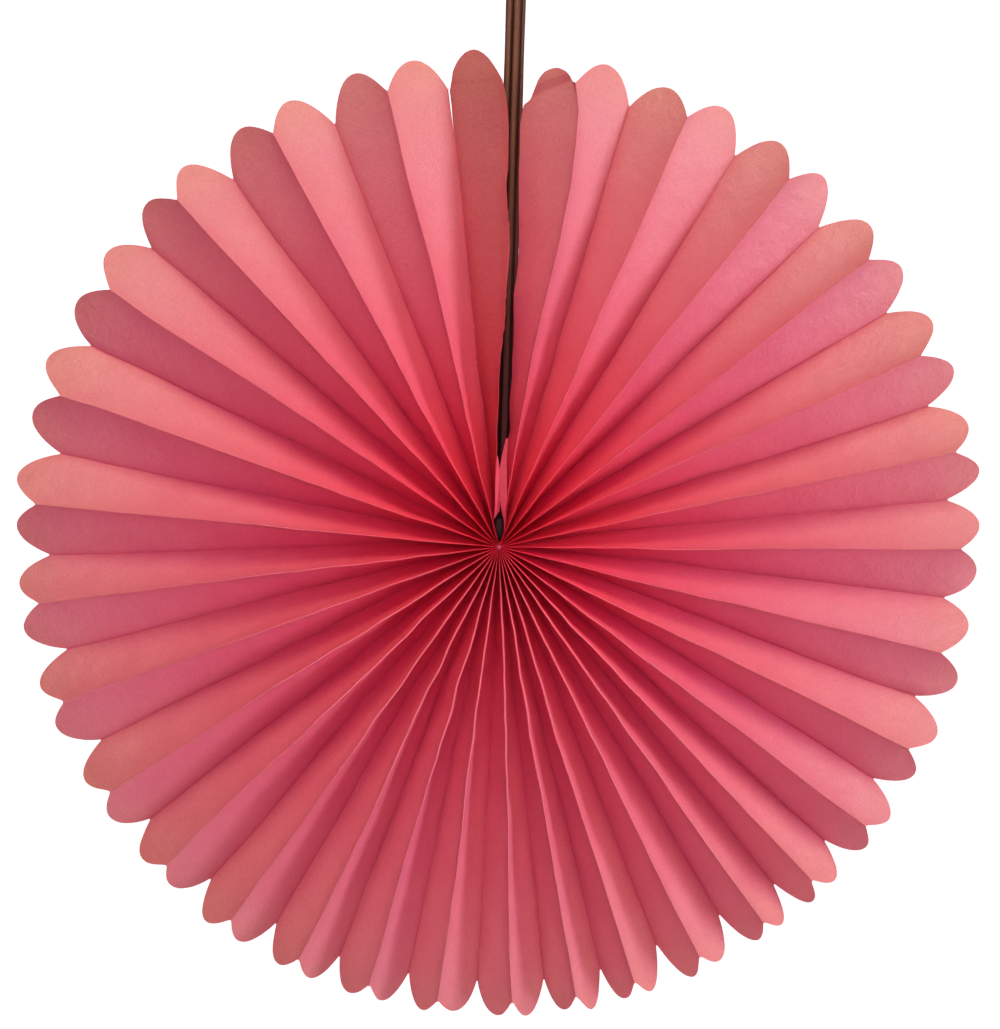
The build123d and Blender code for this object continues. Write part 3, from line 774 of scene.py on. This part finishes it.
# binding thread: a few wraps of fine thread round the core
tv, tf = [], []
TURNS, SEG, RING = 3, 60, 8
for j in range(TURNS * SEG + 1):
    a = 2 * math.pi * j / SEG
    y = -15.3 + 0.42 * j / SEG
    c = Vector((1.55 * math.sin(a), y, 1.55 * math.cos(a)))
    out = Vector((math.sin(a), 0, math.cos(a)))
    for s in range(RING):
        b = 2 * math.pi * s / RING
        tv.append((c + out * (0.22 * math.cos(b)) + Vector((0, 0.22 * math.sin(b), 0))) * MM)
for j in range(TURNS * SEG):
    for s in range(RING):
        e = (s + 1) % RING
        tf.append((j * RING + s, j * RING + e, (j + 1) * RING + e, (j + 1) * RING + s))
tf.append(tuple(range(RING - 1, -1, -1)))
tf.append(tuple(TURNS * SEG * RING + s for s in range(RING)))
thread = make_mesh("binding_thread_wraps", tv, tf)
thread.data.materials.append(THREAD)
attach(thread, "root")
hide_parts("binding_thread")

knot = lathe("thread_knot", [(-17.55, 0.15), (-17.45, 0.6), (-17.1, 0.95), (-16.6, 1.05),
                             (-16.0, 0.9), (-15.5, 0.5)], 32, 0.5, 4.0)
knot.data.materials.append(THREAD)
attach(knot, "root")
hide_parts("hub_knot")

# narrow tongues of tissue that close the gap above the hub
def tongue(name, rows_xz, y0, y1, body, mat, seed):
    fv, ff, fu = [], [], []
    na, nb = 8, 44
    zs = [r[0] for r in rows_xz]
    for j in range(nb + 1):
        z = zs[0] + (zs[-1] - zs[0]) * j / nb
        xa = float(np.interp(z, zs, [r[1] for r in rows_xz]))
        xb = float(np.interp(z, zs, [r[2] for r in rows_xz]))
        for i in range(na + 1):
            t = i / na
            x = xa + (xb - xa) * t + 0.12 * n1(z / 6.0, seed, 0.5) * math.sin(math.pi * t)
            y = y0 + (y1 - y0) * t + 0.35 * n1(z / 9.0, t * 1.5, seed)
            fv.append((x * MM, y * MM, z * MM))
            fu.append((0.03 + 0.12 * t, z / 100 + seed))
    for j in range(nb):
        for i in range(na):
            a = j * (na + 1) + i
            ff.append((a, a + 1, a + na + 2, a + na + 1))
    ob = make_mesh(name, fv, ff)
    put_uv(ob, fu)
    put_value(ob, "along", [0.28] * len(fv))
    put_value(ob, "leafid", [0.1 * seed] * len(fv))
    ob.data.materials.append(mat)
    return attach(ob, body)


tongue("gap_tongue_left", [(13.0, -2.5, -1.9), (16, -2.2, 0.1), (20, -2.0, 0.6),
                           (30, -1.8, 0.5), (37, -1.3, 0.25), (42, -1.0, -0.5)],
       -15.2, -12.4, "fold_l15", tissue("tissue_tongue_left", tone=(0.92, 0.80, 0.85)), 2.2)
tongue("gap_tongue_right", [(7.0, 2.3, 2.9), (12, 2.3, 3.4), (18, 0.9, 3.4), (26, 0.2, 3.7),
                            (35, 0.2, 3.6), (42, 1.3, 3.6), (50, 3.2, 4.3)],
       -12.2, -14.6, "fold_r15", tissue("tissue_tongue_right", tone=(1.0, 1.7, 1.5)), 5.1)

# the folded end of the ribbon, stitched into the gap behind the hub, coloured near black as painted shade of the hole
# at the hub
tv, tf = [], []
NS = 16
ring = [(-9.0, 1.3), (-8.4, 2.0), (-4.0, 2.3), (4.0, 2.5), (12.0, 3.2), (16.0, 4.4), (17.2, 4.7),
        (18.0, 4.7), (18.7, 4.5)]
for j, (y, hw) in enumerate(ring):
    for s_ in range(NS):
        a = 2 * math.pi * s_ / NS
        ca, sa = math.cos(a), math.sin(a)
        px = math.copysign(abs(ca) ** 0.5, ca) * hw
        pz = 8.0 + math.copysign(abs(sa) ** 0.5, sa) * (5.2 if y > 10 else 4.6)
        w = 1 + 0.08 * n1(px / 2.0, y / 4.0, pz / 3.0)
        tv.append((px * w * MM, y * MM, pz * MM))
for j in range(len(ring) - 1):
    for s_ in range(NS):
        e = (s_ + 1) % NS
        tf.append((j * NS + s_, j * NS + e, (j + 1) * NS + e, (j + 1) * NS + s_))
tf.append(tuple(range(NS - 1, -1, -1)))
tf.append(tuple((len(ring) - 1) * NS + s_ for s_ in range(NS)))
tail = make_mesh("ribbon_tie_folded", tv, tf)
tail.data.materials.append(hole_shade_ribbon)
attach(tail, "root")
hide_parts("ribbon_tie")

# ------------------------------------------------------------ floor and light
wall = []
prof = [(-3.0, -0.75)]
for i in range(13):
    a = math.pi / 2 * i / 12
    prof.append((1.2 + 0.9 * math.sin(a), -0.75 + 0.9 * (1 - math.cos(a))))
prof.append((2.1, 2.6))
sv, sf = [], []
for x in (-3.5, 3.5):
    sv += [(x, y, z) for y, z in prof]
m = len(prof)
for i in range(m - 1):
    sf.append((i, m + i, m + i + 1, i + 1))
floor = make_mesh("floor", sv, sf)
fn = Nodes("floor_white")
fb = fn.add("ShaderNodeBsdfDiffuse", None, Color=(0.9, 0.9, 0.9, 1))
fl = fn.add("ShaderNodeLightPath")
fe = fn.add("ShaderNodeEmission", None, Color=(1, 1, 1, 1),
            Strength=fn.math("MULTIPLY", fl.outputs["Is Camera Ray"], 0.95))
fa = fn.add("ShaderNodeAddShader")
fn.link(fb.outputs[0], fa.inputs[0])
fn.link(fe.outputs[0], fa.inputs[1])
fn.link(fa.outputs[0], fn.out.inputs[0])
floor.data.materials.append(fn.mat)

world = bpy.data.worlds.new("world")
scene.world = world
world.use_nodes = True
wt = world.node_tree
background = wt.nodes["Background"]
background.inputs[0].default_value = (1.0, 0.99, 0.99, 1)
wp = wt.nodes.new("ShaderNodeLightPath")
wm = wt.nodes.new("ShaderNodeMapRange")
wm.inputs["To Min"].default_value = 0.03
wm.inputs["To Max"].default_value = 1.0
wt.links.new(wp.outputs["Is Camera Ray"], wm.inputs["Value"])
wt.links.new(wm.outputs["Result"], background.inputs[1])


def area(name, az, front, dist, size, power, colour):
    """A soft light, az clockwise from the top as seen from the front, front
    degrees towards the camera out of the plane of the fan."""
    f, a = math.radians(front), math.radians(az)
    d = Vector((math.sin(a) * math.cos(f), -math.sin(f), math.cos(a) * math.cos(f)))
    la = bpy.data.lights.new(name, "AREA")
    la.shape = "DISK"
    la.size = size
    la.energy = power
    la.color = colour
    ob = bpy.data.objects.new(name, la)
    scene.collection.objects.link(ob)
    ob.location = d * dist
    ob.rotation_euler = (-d).to_track_quat("-Z", "Y").to_euler()
    return ob


area("light_top", 5, 41, 1.05, 0.5, 16 * 0.42 * 0.83, (0.93, 1.0, 0.70))
area("light_right_low", 96, 33, 1.15, 0.3, 16 * 0.31, (0.82, 0.58, 1.0))
area("light_right_high", 75, 30, 1.15, 0.4, 16 * 0.33, (0.80, 1.0, 0.90))
area("light_left", 290, 42, 1.15, 0.5, 16 * 0.06, (0.9, 1.0, 0.9))
area("light_front", 0, 85, 1.15, 0.5, 16 * 0.41, (1.0, 0.38, 0.74))
